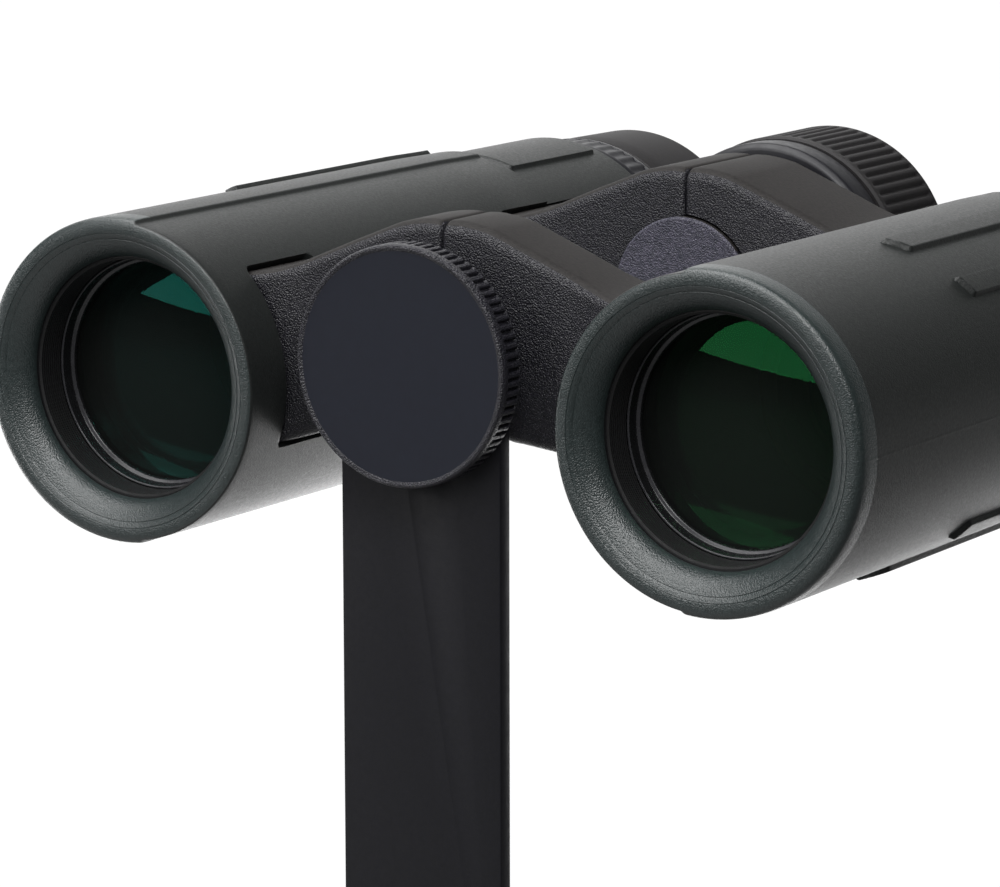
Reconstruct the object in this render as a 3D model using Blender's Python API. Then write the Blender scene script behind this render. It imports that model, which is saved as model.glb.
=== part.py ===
"""Compact roof-prism binoculars with an open bridge, on an L-shaped tripod adapter.

The frame has +X to the right, +Y from the objectives to the eyecups and +Z up.
The origin lies in the middle of the lower face of the adapter's foot.
Lengths in the outlines below are millimetres and become metres in one place, mm().
A station is a distance along a barrel, from the inner edge of its objective opening.
A half's own outlines are drawn from the hinge axis, outwards and up, for either side.
"""
import bpy
import bmesh
from math import atan2, cos, degrees, hypot, pi, radians, sin
from mathutils import Vector

# ---- driving dimensions, mm ----
HALF_SPACING = 38.0          # barrel axis to the middle plane, fully opened out
AXIS_RISE = 5.0              # hinge axis above the barrel axes
BARREL_HEIGHT = 85.0         # barrel axes above the foot's lower face
OPENING_Y = -20.0            # station 0 in the frame
ARM_REACH = hypot(HALF_SPACING, AXIS_RISE)       # hinge axis to barrel axis
ARM_TILT = -degrees(atan2(AXIS_RISE, HALF_SPACING))

GAP = 0.3                    # clearance between neighbouring pieces
TUBE_RADIUS = 16.2           # body casting
BORE_RADIUS = 14.0
ARMOUR_RADIUS = 18.3         # rubber sleeve, bridge side
PANEL_RISE = 0.4             # the sleeve's outer half is a raised panel
ARMOUR_END = 94.0
KNUCKLE_RADIUS = 9.2
SADDLE_ROOM = 0.5            # room round a bridge in the sleeve, along the barrel
SADDLE_ANGLES = (-28, 47)    # from the hinge side, upwards
ARM_TOP = 15.0               # bridges above the hinge axis
FRONT_BRIDGE = (5.8, 16.0)   # first and last station
REAR_BRIDGE = (59.6, 77.0)
STUD_RADIUS = 3.1            # quarter-inch tripod thread
PLATE_HALF_WIDTH = 10.4
PLATE_FRONT = 1.3
PLATE_THICKNESS = 2.1
WHEEL_RIBS = 72
RIB_DEPTH = 0.6

# ---- fineness ----
OUTER_STEPS = 36
INNER_STEPS = 22
SMALL_STEPS = 16

SIDES = (("left", -1), ("right", 1))


def mm(value):
    return value * 0.001


# ---- scene, empties and finishes ----

def clear_scene():
    for item in list(bpy.data.objects):
        bpy.data.objects.remove(item, do_unlink=True)


def empty(name, x, y, z, tilt=0.0):
    """An empty in millimetres; tilt turns it about +Y, so that local x dips or rises."""
    frame = bpy.data.objects.new(name, None)
    frame.location = (mm(x), mm(y), mm(z))
    frame.rotation_euler = (0.0, radians(tilt), 0.0)
    bpy.context.collection.objects.link(frame)
    return frame


def finish(name, colour, roughness, metallic=0.0):
    material = bpy.data.materials.new(name)
    material.use_nodes = True
    shader = material.node_tree.nodes["Principled BSDF"]
    shader.inputs["Base Color"].default_value = (*colour, 1.0)
    shader.inputs["Roughness"].default_value = roughness
    shader.inputs["Metallic"].default_value = metallic
    material.diffuse_color = (*colour, 1.0)
    return material


def make_finishes():
    return {
        "armour": finish("armour_rubber", (0.030, 0.050, 0.043), 0.55),
        "casting": finish("pebbled_black", (0.017, 0.017, 0.024), 0.5),
        "grip": finish("grip_rubber", (0.020, 0.018, 0.018), 0.6),
        "ring": finish("satin_black", (0.012, 0.012, 0.014), 0.4),
        "inner": finish("matt_black", (0.008, 0.008, 0.009), 0.8),
        "steel": finish("steel", (0.55, 0.55, 0.56), 0.35, 1.0),
        "brass": finish("brass", (0.70, 0.52, 0.24), 0.35, 1.0),
        "glass": finish("coated_glass", (0.10, 0.35, 0.22), 0.05),
        "plate": finish("adapter_paint", (0.010, 0.011, 0.018), 0.45),
        "knob": finish("knob_paint", (0.022, 0.025, 0.038), 0.5),
        "nylon": finish("nylon", (0.75, 0.73, 0.68), 0.5),
    }


# ---- shape builders ----

def place(name, mesh_data, material, parent):
    mesh_data.normal_update()
    mesh = bpy.data.meshes.new(name)
    mesh_data.to_mesh(mesh)
    mesh_data.free()
    mesh.materials.append(material)
    mesh.shade_smooth()
    mesh.set_sharp_from_angle(angle=radians(32))
    item = bpy.data.objects.new(name, mesh)
    item.parent = parent
    bpy.context.collection.objects.link(item)
    return item


def spun(profile, steps, along="Y"):
    """Spin a (radius, station) outline round the local axis. It may start and end on the axis."""
    shape = bmesh.new()
    points = []
    for radius, station in profile:
        spot = (mm(radius), mm(station), 0.0) if along == "Y" else (mm(radius), 0.0, mm(station))
        points.append(shape.verts.new(spot))
    for first, second in zip(points, points[1:]):
        shape.edges.new((first, second))
    if profile[0][0] > 0 or profile[-1][0] > 0:
        shape.edges.new((points[-1], points[0]))
    axis = (0.0, 1.0, 0.0) if along == "Y" else (0.0, 0.0, 1.0)
    bmesh.ops.spin(shape, geom=shape.verts[:] + shape.edges[:], cent=(0, 0, 0), axis=axis,
                   angle=2 * pi, steps=steps, use_merge=True)
    bmesh.ops.remove_doubles(shape, verts=shape.verts[:], dist=1e-6)
    bmesh.ops.recalc_face_normals(shape, faces=shape.faces[:])
    return shape


def turned(name, profile, material, parent, steps=INNER_STEPS):
    return place(name, spun(profile, steps), material, parent)


def tube_profile(outer, inner, start, end):
    return [(outer, start), (outer, end), (inner, end), (inner, start)]


def rod_profile(radius, start, end):
    return [(0, start), (radius, start), (radius, end), (0, end)]


def extruded(outline, start, end):
    """Extrude an (x, z) outline along +Y from the first station to the last."""
    shape = bmesh.new()
    loop = [shape.verts.new((mm(x), mm(start), mm(z))) for x, z in outline]
    face = shape.faces.new(loop)
    grown = bmesh.ops.extrude_face_region(shape, geom=[face])
    moved = [item for item in grown["geom"] if isinstance(item, bmesh.types.BMVert)]
    bmesh.ops.translate(shape, verts=moved, vec=(0.0, mm(end - start), 0.0))
    bmesh.ops.recalc_face_normals(shape, faces=shape.faces[:])
    return shape


def extruded_across(outline, half_width):
    """Extrude a (station, z) outline along X, by the half width to each side."""
    shape = extruded(outline, -half_width, half_width)
    for vert in shape.verts:
        vert.co.x, vert.co.y = vert.co.y, vert.co.x
    bmesh.ops.reverse_faces(shape, faces=shape.faces[:])
    shape.normal_update()
    return shape


def sliced(shape, point, normal):
    """Cut away what lies on the normal's side of a plane and close the cut."""
    geometry = shape.verts[:] + shape.edges[:] + shape.faces[:]
    cut = bmesh.ops.bisect_plane(shape, geom=geometry, plane_co=point, plane_no=normal,
                                 clear_outer=True)
    rim = [item for item in cut["geom_cut"] if isinstance(item, bmesh.types.BMEdge)]
    bmesh.ops.edgeloop_fill(shape, edges=rim)
    bmesh.ops.recalc_face_normals(shape, faces=shape.faces[:])


def box_outline(x_from, x_to, z_from, z_to):
    return [(x_from, z_from), (x_to, z_from), (x_to, z_to), (x_from, z_to)]


def arc(radius, from_deg, to_deg, count):
    step = (to_deg - from_deg) / count
    angles = [radians(from_deg + step * i) for i in range(count + 1)]
    return [(radius * cos(a), radius * sin(a)) for a in angles]


def sector_outline(inner, outer, from_deg, to_deg, count=6):
    return arc(outer, from_deg, to_deg, count) + arc(inner, to_deg, from_deg, count)


def mirrored(outline, sign):
    return [(sign * x, z) for x, z in outline]


# ---- Boolean helpers: the shapes that cut or join are hidden guides ----

def guide(name, shape, parent):
    mesh = bpy.data.meshes.new(name)
    shape.to_mesh(mesh)
    shape.free()
    item = bpy.data.objects.new(name, mesh)
    item.parent = parent
    item.hide_render = True
    item.display_type = "WIRE"
    bpy.context.collection.objects.link(item)
    return item


def combine(item, operation, shape, parent, solver="EXACT"):
    modifier = item.modifiers.new(operation.lower(), "BOOLEAN")
    modifier.operation = operation
    modifier.solver = solver
    modifier.object = guide(f"{item.name}_guide_{len(item.modifiers)}", shape, parent)


# ---- bridges ----

# From the hinge axis, outwards and up: over the top to the barrel and back underneath.
ARM_OUTLINE = [
    (-4.0, ARM_TOP), (2.5, ARM_TOP), (5.7, 14.4), (10.2, 12.7), (16.5, 10.1), (21.6, 7.9),
    (27.0, 5.5), (27.0, -12.8), (21.6, -11.7), (18.1, -10.7), (12.7, -9.4), (8.7, -8.9),
    (7.2, -8.2), (-4.0, -2.0),
]
ARM_EDGE = 1.5               # bevel round the ends of an arm
SEAM_GAP = 0.15


def arm(sign, stations):
    """One bridge arm with rounded edges, cut square at the seam in the middle plane."""
    shape = extruded(mirrored(ARM_OUTLINE, sign), *stations)
    first, last = mm(stations[0]), mm(stations[1])
    ends = [e for e in shape.edges if all(abs(v.co.y - first) < 1e-7 for v in e.verts)
            or all(abs(v.co.y - last) < 1e-7 for v in e.verts)]
    bmesh.ops.bevel(shape, geom=ends, offset=mm(ARM_EDGE), segments=2, profile=0.5, affect="EDGES")
    sliced(shape, (sign * mm(SEAM_GAP), 0.0, 0.0), (-sign, 0.0, 0.0))
    return shape


POCKET_END = 78.0              # the focus nut's round pocket is open to the rear
# Stations of each half's hinge knuckles, and of the room it leaves for the other half's.
KNUCKLES = {"left": [(5.6, 10.7), (59.2, 62.6)], "right": [(11.0, 15.9), (62.9, 65.9)]}
CLEARANCES = {
    "left": [(10.55, 17.0), (62.45, POCKET_END)],
    "right": [(5.0, 11.15), (59.0, 63.05), (65.75, POCKET_END)],
}
CLEAR_RADIUS = KNUCKLE_RADIUS + GAP
SOCKET_RADIUS = 4.6            # tripod socket's sleeve, the hinge pin in front
REAR_PIN_RADIUS = 4.2
LINK_HALF_HEIGHT = 1.5
CHANNEL_HALF_HEIGHT = LINK_HALF_HEIGHT + 0.4


def casting(side, sign, frames, finishes):
    """Body tube with its two bridge arms, hinge knuckles and the channel for the focus link."""
    barrel = frames[side]
    hinge = frames["hinge"]
    tilted = frames[side + "_arm"]
    outside = [(0, 2.6), (TUBE_RADIUS, 2.6), (TUBE_RADIUS, 93.7), (14.9, 93.7), (14.9, 99.4),
               (0, 99.4)]
    bore = [(0, 2.0), (14.6, 2.0), (14.6, 13.4), (BORE_RADIUS, 13.4), (BORE_RADIUS, 78.0),
            (13.4, 78.0), (13.4, 100.0), (0, 100.0)]
    body = turned(side + "_body_casting", outside, finishes["casting"], barrel, OUTER_STEPS)

    def join(shape, parent):
        combine(body, "UNION", shape, parent, "MANIFOLD")

    def cut(shape, parent):
        combine(body, "DIFFERENCE", shape, parent, "MANIFOLD")

    join(arm(sign, FRONT_BRIDGE), hinge)
    join(arm(sign, REAR_BRIDGE), hinge)
    for start, end in CLEARANCES[side]:
        cut(spun(rod_profile(CLEAR_RADIUS, start, end), 32), hinge)
    for start, end in KNUCKLES[side]:
        join(spun(rod_profile(KNUCKLE_RADIUS, start, end), 32), hinge)
    cut(spun(rod_profile(SOCKET_RADIUS + GAP, 5.0, 17.0), 20), hinge)
    cut(spun(rod_profile(REAR_PIN_RADIUS + GAP, 60.4, 67.0), 20), hinge)
    cut(spun(bore, OUTER_STEPS), barrel)
    height = CHANNEL_HALF_HEIGHT
    inner = mirrored(box_outline(8.0, 25.2, -height, height), sign)
    mouth = mirrored(box_outline(9.0, 20.6, -height - 1.0, height + 1.0), sign)
    cut(extruded(inner, 66.5, 75.7), tilted)
    cut(extruded(mouth, 75.4, 78.0), tilted)
    return body


# ---- rubber armour ----

def armour(side, sign, frames, finishes):
    """Rubber sleeve that folds over the casting's front edge into the objective opening."""
    inner = TUBE_RADIUS + GAP
    rear_radius = 17.75
    profile = [(13.95, 0.0), (16.87, -2.86), (17.9, -2.4), (ARMOUR_RADIUS, -1.2),
               (ARMOUR_RADIUS, 70.0), (rear_radius, 70.6), (rear_radius, 93.6), (17.4, ARMOUR_END),
               (inner, ARMOUR_END), (inner, 2.2), (13.95, 2.2)]
    shape = spun(profile, OUTER_STEPS)
    for vert in shape.verts:
        radius = hypot(vert.co.x, vert.co.z)
        outward = sign * vert.co.x / radius
        if radius > mm(17.85) and outward > -0.13:
            factor = (radius + mm(PANEL_RISE)) / radius
            vert.co.x *= factor
            vert.co.z *= factor
    item = place(side + "_armour", shape, finishes["armour"], frames[side])
    saddle = mirrored(sector_outline(15.0, 21.0, *SADDLE_ANGLES), -sign)
    for start, end in (FRONT_BRIDGE, REAR_BRIDGE):
        cutter = extruded(saddle, start - SADDLE_ROOM, end + SADDLE_ROOM)
        combine(item, "DIFFERENCE", cutter, frames[side])
    return item


# ---- optics of one barrel ----

def biconvex(radius, front, back, front_bulge, back_bulge):
    """A lens outline from pole to pole; a negative bulge is a hollow."""
    rise = 2
    outline = []
    for i in range(rise + 1):
        t = i / rise
        outline.append((radius * t, front - front_bulge * (1 - t * t)))
    for i in range(rise, -1, -1):
        t = i / rise
        outline.append((radius * t, back + back_bulge * (1 - t * t)))
    return outline


def objective(side, frames, finishes):
    barrel = frames[side]
    cell = [(14.3, 2.9), (14.3, 11.9), (12.4, 11.9), (12.4, 11.2), (13.7, 11.2), (13.7, 2.9)]
    turned(side + "_objective_cell", cell, finishes["inner"], barrel)
    ring = [(13.4, 4.5), (13.4, 6.2), (12.6, 6.2), (12.9, 4.5)]
    turned(side + "_objective_retaining_ring", ring, finishes["ring"], barrel)
    crown = biconvex(13.4, 6.8, 8.0, 1.4, 1.0)
    turned(side + "_objective_crown_lens", crown, finishes["glass"], barrel)
    flint = biconvex(13.4, 8.3, 10.9, -1.0, 0.0)
    turned(side + "_objective_flint_lens", flint, finishes["glass"], barrel)
    # A rubber ring of round section, a little flattened between its seats.
    seal = [(13.75 + 0.5 * x, 12.65 + 0.42 * y) for x, y in arc(1.0, 0, 300, 5)]
    turned(side + "_objective_seal", seal, finishes["grip"], barrel)


ROD_RADIUS = 0.9
ROD_REACH = 12.7              # push rod from the barrel axis, on the side of the hinge


def rod_centre(sign):
    """The push rod's place in the barrel's frame, on the line to the hinge axis."""
    angle = radians(-ARM_TILT)
    return (-sign * ROD_REACH * cos(angle), ROD_REACH * sin(angle))


def offset_rod(radius, start, end, centre, steps=10):
    shape = spun(rod_profile(radius, start, end), steps)
    bmesh.ops.translate(shape, verts=shape.verts[:], vec=(mm(centre[0]), 0.0, mm(centre[1])))
    return shape


def focusing_group(side, sign, frames, finishes):
    barrel = frames[side]
    carrier = [(13.6, 34.0), (13.6, 40.0), (10.6, 40.0), (10.6, 38.6), (12.1, 38.6), (12.1, 34.0)]
    item = turned(side + "_focus_carrier", carrier, finishes["brass"], barrel)
    combine(item, "UNION", offset_rod(ROD_RADIUS, 39.0, 73.0, rod_centre(sign)), barrel)
    turned(side + "_focus_lens", biconvex(11.7, 34.8, 38.2, -1.0, -0.8), finishes["glass"], barrel)


def prisms(side, sign, frames, finishes):
    barrel = frames[side]
    cage = turned(side + "_prism_cage", rod_profile(13.6, 46.0, 64.5), finishes["inner"], barrel)
    combine(cage, "DIFFERENCE", extruded(box_outline(-8.4, 8.4, -8.4, 8.4), 45.0, 65.0), barrel)
    combine(cage, "DIFFERENCE", offset_rod(ROD_RADIUS + 0.5, 45.0, 66.0, rod_centre(sign)), barrel)
    half = 8.0
    # Both outlines are (station, z); the faces that meet slope down to the rear.
    first = [(47.0, -half), (58.0, -half), (62.0, -4.0), (50.0, half), (47.0, half)]
    second = [(50.7, half), (62.7, -4.0), (63.8, -4.0), (63.8, half)]
    for name, outline, roof in (("entrance_prism", first, False), ("roof_prism", second, True)):
        shape = extruded_across(outline, half)
        if roof:
            ridge = (0.0, 0.0, mm(half))
            sliced(shape, ridge, Vector((1, 0, 1)))
            sliced(shape, ridge, Vector((-1, 0, 1)))
        place(f"{side}_{name}", shape, finishes["glass"], barrel)


def ocular(side, frames, finishes):
    barrel = frames[side]
    housing = [(13.1, 79.0), (13.1, 99.7), (13.4, 99.7), (13.4, 112.0), (11.9, 112.0), (11.9, 79.0)]
    turned(side + "_ocular_housing", housing, finishes["ring"], barrel)
    cell = [(11.6, 83.0), (11.6, 109.0), (10.8, 109.0), (10.8, 104.6), (9.6, 104.6), (9.6, 88.6),
            (10.8, 88.6), (10.8, 83.0)]
    turned(side + "_ocular_cell", cell, finishes["inner"], barrel)
    turned(side + "_field_lens", biconvex(10.5, 85.4, 87.4, 0.8, 0.8), finishes["glass"], barrel)
    turned(side + "_eye_lens", biconvex(10.5, 105.9, 107.8, 0.8, 0.6), finishes["glass"], barrel)


def rear_trim(side, frames, finishes):
    """The ring behind the armour turns on the right as the dioptre ring and is fixed on the left."""
    name = "right_dioptre_ring" if side == "right" else "left_trim_ring"
    ring = [(15.2, 94.3), (16.9, 94.3), (17.2, 94.7), (17.2, 99.0), (16.9, 99.4), (15.2, 99.4)]
    turned(name, ring, finishes["ring"], frames[side], OUTER_STEPS)


def eyecup(side, frames, finishes):
    barrel = frames[side]
    turned(side + "_eyecup_drive_ring", tube_profile(14.9, 13.7, 100.0, 103.6), finishes["ring"], barrel)
    sleeve = [(15.9, 100.2), (15.9, 113.5), (13.7, 113.5), (13.7, 111.5), (15.2, 111.5), (15.2, 100.2)]
    turned(side + "_eyecup_sleeve", sleeve, finishes["ring"], barrel)
    cup = [(17.0, 100.2), (17.1, 101.6), (16.9, 113.4), (16.3, 114.6), (14.0, 114.6), (13.6, 113.8),
           (16.2, 113.8), (16.2, 100.2)]
    turned(side + "_eyecup_rubber", cup, finishes["grip"], barrel, OUTER_STEPS)


def strap_lug(side, sign, frames, finishes):
    """A steel strap eye on the outside of the barrel, level with its axis."""
    start = 18.1
    outline = [(start, 83.0), (start + 3.0, 83.0), (start + 4.6, 84.6), (start + 4.6, 91.4),
               (start + 3.0, 93.0), (start, 93.0)]
    shape = bmesh.new()
    loop = [shape.verts.new((mm(sign * x), mm(y), mm(-1.4))) for x, y in outline]
    grown = bmesh.ops.extrude_face_region(shape, geom=[shape.faces.new(loop)])
    moved = [item for item in grown["geom"] if isinstance(item, bmesh.types.BMVert)]
    bmesh.ops.translate(shape, verts=moved, vec=(0.0, 0.0, mm(2.8)))
    bmesh.ops.recalc_face_normals(shape, faces=shape.faces[:])
    item = place(side + "_strap_lug", shape, finishes["steel"], frames[side])
    slot_from, slot_to = sorted((sign * (start + 1.0), sign * (start + 3.4)))
    slot = extruded(box_outline(slot_from, slot_to, -3.0, 3.0), 84.6, 91.4)
    combine(item, "DIFFERENCE", slot, frames[side])


# ---- focus drive on the hinge axis ----

def focus_link(side, sign, stations, frames, finishes):
    """A ring on the focus nut with a bar that reaches the push rod through the arm."""
    tilted = frames[side + "_arm"]
    item = turned(side + "_focus_link", tube_profile(6.6, 4.4, *stations), finishes["steel"], tilted)
    reach = ARM_REACH - ROD_REACH - ROD_RADIUS - 0.4
    height = LINK_HALF_HEIGHT
    bar = mirrored(box_outline(5.6, reach, -height, height), sign)
    combine(item, "UNION", extruded(bar, *stations), tilted)


def link_cover(side, sign, frames, finishes):
    height = CHANNEL_HALF_HEIGHT + 0.7
    outline = mirrored(box_outline(10.2, 20.3, -height, height), sign)
    cover = extruded(outline, 75.8, 76.8)
    place(side + "_link_cover", cover, finishes["casting"], frames[side + "_arm"])


def focus_drive(frames, finishes):
    hinge = frames["hinge"]
    pin = tube_profile(REAR_PIN_RADIUS, 2.4, 60.7, 66.0)
    turned("rear_hinge_pin", pin, finishes["steel"], hinge, SMALL_STEPS)
    turned("focus_spindle", rod_profile(2.0, 61.0, 95.6), finishes["brass"], hinge, SMALL_STEPS)
    nut = [(5.4, 67.2), (5.4, 68.0), (4.0, 68.0), (4.0, 72.4), (5.4, 72.4), (5.4, 73.2), (2.3, 73.2),
           (2.3, 67.2)]
    turned("focus_nut", nut, finishes["brass"], hinge, SMALL_STEPS)
    hub = [(15.6, 79.5), (15.9, 79.9), (15.9, 83.4), (14.8, 83.8), (14.8, 97.6), (13.2, 97.6),
           (13.2, 82.2), (5.2, 82.2), (5.2, 95.6), (2.3, 95.6), (2.3, 79.5)]
    turned("focus_wheel_hub", hub, finishes["ring"], hinge, OUTER_STEPS)
    cap = [(0, 96.2), (12.8, 96.2), (12.8, 97.9), (11.8, 98.5), (0, 98.8)]
    turned("focus_wheel_cap", cap, finishes["ring"], hinge)
    sleeve = [(16.3, 84.2), (16.3, 97.8), (15.6, 98.3), (15.1, 98.3), (15.1, 84.2)]
    grip = turned("focus_wheel_grip", sleeve, finishes["grip"], hinge, 2 * WHEEL_RIBS)
    pitch = pi / WHEEL_RIBS
    for vert in grip.data.vertices:
        radius = hypot(vert.co.x, vert.co.z)
        between_ribs = round(atan2(vert.co.z, vert.co.x) / pitch) % 2 == 1
        if radius > mm(15.9) and between_ribs:
            vert.co.x *= 1 - mm(RIB_DEPTH) / radius
            vert.co.z *= 1 - mm(RIB_DEPTH) / radius
    socket = [(9.0, 3.7), (9.0, 5.5), (SOCKET_RADIUS, 5.5), (SOCKET_RADIUS, 15.6), (3.4, 15.6),
              (3.4, 3.7)]
    turned("tripod_socket", socket, finishes["steel"], hinge)


# ---- tripod adapter ----

BUSH_RADIUS = 4.3
BUSH_STATION = 28.7          # the threaded bush in the foot, below the middle of the barrels


def adapter(frames, finishes):
    hinge = frames["hinge"]
    hinge_height = BARREL_HEIGHT + AXIS_RISE
    back = PLATE_FRONT + PLATE_THICKNESS
    foot_end = -2 * OPENING_Y - PLATE_FRONT
    bend = 3.4
    corner = [(PLATE_FRONT + bend - x, bend - y) for x, y in arc(bend, 0, 90, 4)]
    inner_bend = bend - PLATE_THICKNESS
    inside = [(PLATE_FRONT + bend - x, bend - y) for x, y in arc(inner_bend, 90, 0, 3)]
    crown = hinge_height + PLATE_HALF_WIDTH
    side_view = corner + [(foot_end, 0.0), (foot_end, PLATE_THICKNESS)] + inside
    side_view += [(back, crown), (PLATE_FRONT, crown)]
    # The side view is (station, height): build it across X, then cut the rounded top and the holes.
    shape = extruded_across(side_view, PLATE_HALF_WIDTH)
    plate = place("adapter_plate", shape, finishes["plate"], frames["foot"])
    wide = PLATE_HALF_WIDTH + 1.0
    crop = [(-wide, crown + 1), (-wide, hinge_height)]
    crop += [(x, hinge_height + z) for x, z in arc(PLATE_HALF_WIDTH, 180, 0, 16)]
    crop += [(wide, hinge_height), (wide, crown + 1)]
    front_cut, back_cut = PLATE_FRONT - 1, back + 1
    combine(plate, "DIFFERENCE", extruded(crop, front_cut, back_cut), frames["foot"])
    screw_hole = spun(rod_profile(STUD_RADIUS + 0.4, front_cut, back_cut), 20)
    combine(plate, "DIFFERENCE", screw_hole, hinge)
    bush_hole = spun(rod_profile(BUSH_RADIUS + GAP, -1.0, PLATE_THICKNESS + 1), 20, along="Z")
    bmesh.ops.translate(bush_hole, verts=bush_hole.verts[:], vec=(0.0, mm(BUSH_STATION), 0.0))
    combine(plate, "DIFFERENCE", bush_hole, frames["foot"])
    bush_profile = [(BUSH_RADIUS, 0.0), (BUSH_RADIUS, 2.4), (6.5, 2.4), (6.5, 6.6), (3.2, 6.6), (3.2, 0.0)]
    bush = spun(bush_profile, SMALL_STEPS, along="Z")
    bmesh.ops.translate(bush, verts=bush.verts[:], vec=(0.0, mm(BUSH_STATION), 0.0))
    place("tripod_bush", bush, finishes["brass"], frames["foot"])


def clamp_screw(frames, finishes):
    hinge = frames["hinge"]
    knob = [(0, -2.89), (12.5, -2.89), (13.1, -2.7), (13.4, -2.2), (13.4, 0.6), (13.0, 1.0), (6.6, 1.0),
            (6.6, -0.1), (3.4, -0.1), (3.4, -1.5), (0, -1.5)]
    turned("clamp_knob", knob, finishes["knob"], hinge, OUTER_STEPS)
    turned("clamp_stud", rod_profile(STUD_RADIUS, -1.2, 12.5), finishes["steel"], hinge, SMALL_STEPS)
    turned("knob_washer", tube_profile(6.3, 3.5, 0.2, 1.0), finishes["nylon"], hinge, SMALL_STEPS)


# ---- assembly ----

def make_frames():
    hinge_height = BARREL_HEIGHT + AXIS_RISE
    frames = {"foot": empty("foot_frame", 0, OPENING_Y, 0)}
    frames["hinge"] = empty("hinge_axis", 0, OPENING_Y, hinge_height)
    for side, sign in SIDES:
        frames[side] = empty(side + "_barrel_axis", sign * HALF_SPACING, OPENING_Y, BARREL_HEIGHT)
        frames[side + "_arm"] = empty(side + "_arm_line", 0, OPENING_Y, hinge_height, -sign * ARM_TILT)
    return frames


def build():
    clear_scene()
    finishes = make_finishes()
    frames = make_frames()
    adapter(frames, finishes)
    clamp_screw(frames, finishes)
    focus_drive(frames, finishes)
    link_stations = {"left": (68.3, 70.0), "right": (70.3, 72.0)}
    for side, sign in SIDES:
        casting(side, sign, frames, finishes)
        armour(side, sign, frames, finishes)
        objective(side, frames, finishes)
        focusing_group(side, sign, frames, finishes)
        prisms(side, sign, frames, finishes)
        ocular(side, frames, finishes)
        rear_trim(side, frames, finishes)
        eyecup(side, frames, finishes)
        strap_lug(side, sign, frames, finishes)
        focus_link(side, sign, link_stations[side], frames, finishes)
        link_cover(side, sign, frames, finishes)


build()
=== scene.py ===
"""Looks of the compact binoculars on their tripod adapter.

Outlines are in millimetres: (radius, station) on a barrel or on the hinge axis, with the
station counted from the inner edge of the objective opening, as in the CAD frame.
"""
import bpy
import bmesh
from math import atan2, cos, hypot, pi, radians, sin
import numpy as np
from mathutils import Matrix, Vector


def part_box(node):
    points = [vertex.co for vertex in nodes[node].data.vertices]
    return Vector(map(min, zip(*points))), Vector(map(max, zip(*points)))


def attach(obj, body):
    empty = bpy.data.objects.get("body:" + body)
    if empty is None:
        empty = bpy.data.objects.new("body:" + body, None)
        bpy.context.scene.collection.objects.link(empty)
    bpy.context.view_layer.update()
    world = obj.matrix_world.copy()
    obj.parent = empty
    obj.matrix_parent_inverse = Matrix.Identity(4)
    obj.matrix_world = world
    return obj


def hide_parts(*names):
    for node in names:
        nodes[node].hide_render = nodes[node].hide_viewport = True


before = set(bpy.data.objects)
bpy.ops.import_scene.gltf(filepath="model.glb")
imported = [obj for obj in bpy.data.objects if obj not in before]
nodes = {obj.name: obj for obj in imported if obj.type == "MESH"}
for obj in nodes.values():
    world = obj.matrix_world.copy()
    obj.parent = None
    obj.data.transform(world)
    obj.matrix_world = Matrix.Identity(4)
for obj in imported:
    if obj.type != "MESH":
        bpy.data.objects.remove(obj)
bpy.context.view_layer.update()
MM = 0.001
SIDES = (("left", -1), ("right", 1))


# ---- places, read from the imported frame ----

def axis_of(node, station_of_low_end):
    """A turned node's axis as (x, y of station 0, z)."""
    low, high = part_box(node)
    return Vector(((low[0] + high[0]) / 2, low[1] - station_of_low_end * MM, (low[2] + high[2]) / 2))


BARREL = {side: axis_of(side + "_objective_cell", 2.9) for side, _ in SIDES}
HINGE = axis_of("tripod_socket", 3.7)
HINGE.x = 0.0
HINGE.y = BARREL["left"].y
HINGE_RISE = (HINGE.z - BARREL["left"].z) / MM


# ---- mesh tools ----

def to_object(name, points, faces, materials, sharp=32.0, slots=None):
    mesh = bpy.data.meshes.new(name)
    mesh.from_pydata([tuple(p) for p in points], [], faces)
    for material in materials:
        mesh.materials.append(material)
    if slots is not None:
        mesh.polygons.foreach_set("material_index", np.asarray(slots, dtype=np.int32))
    shape = bmesh.new()
    shape.from_mesh(mesh)
    bmesh.ops.remove_doubles(shape, verts=shape.verts[:], dist=2e-7)
    bmesh.ops.recalc_face_normals(shape, faces=shape.faces[:])
    if shape.calc_volume(signed=True) < 0:
        bmesh.ops.reverse_faces(shape, faces=shape.faces[:])
    shape.to_mesh(mesh)
    shape.free()
    mesh.shade_smooth()
    mesh.set_sharp_from_angle(angle=radians(sharp))
    item = bpy.data.objects.new(name, mesh)
    bpy.context.scene.collection.objects.link(item)
    return item


def ring_faces(rows, columns, closed_rows):
    faces = []
    last = rows if closed_rows else rows - 1
    for i in range(last):
        a, b = i * columns, ((i + 1) % rows) * columns
        for j in range(columns):
            k = (j + 1) % columns
            faces.append((a + j, a + k, b + k, b + j))
    return faces


def lathe_points(profile, origin, steps, wave=None):
    """wave(radius, station, angle) may add to a point's radius."""
    points = []
    for radius, station in profile:
        for j in range(steps):
            angle = 2 * pi * j / steps
            r = radius + (wave(radius, station, angle) if wave else 0.0)
            points.append((origin.x + r * MM * cos(angle), origin.y + station * MM,
                           origin.z + r * MM * sin(angle)))
    return points


def lathe(name, profile, origin, material, steps=144, wave=None, sharp=32.0):
    """Turn a closed outline, or one that starts and ends on the axis."""
    points = lathe_points(profile, origin, steps, wave)
    closed = profile[0][0] > 0 or profile[-1][0] > 0
    faces = ring_faces(len(profile), steps, closed)
    return to_object(name, points, faces, [material], sharp)


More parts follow.
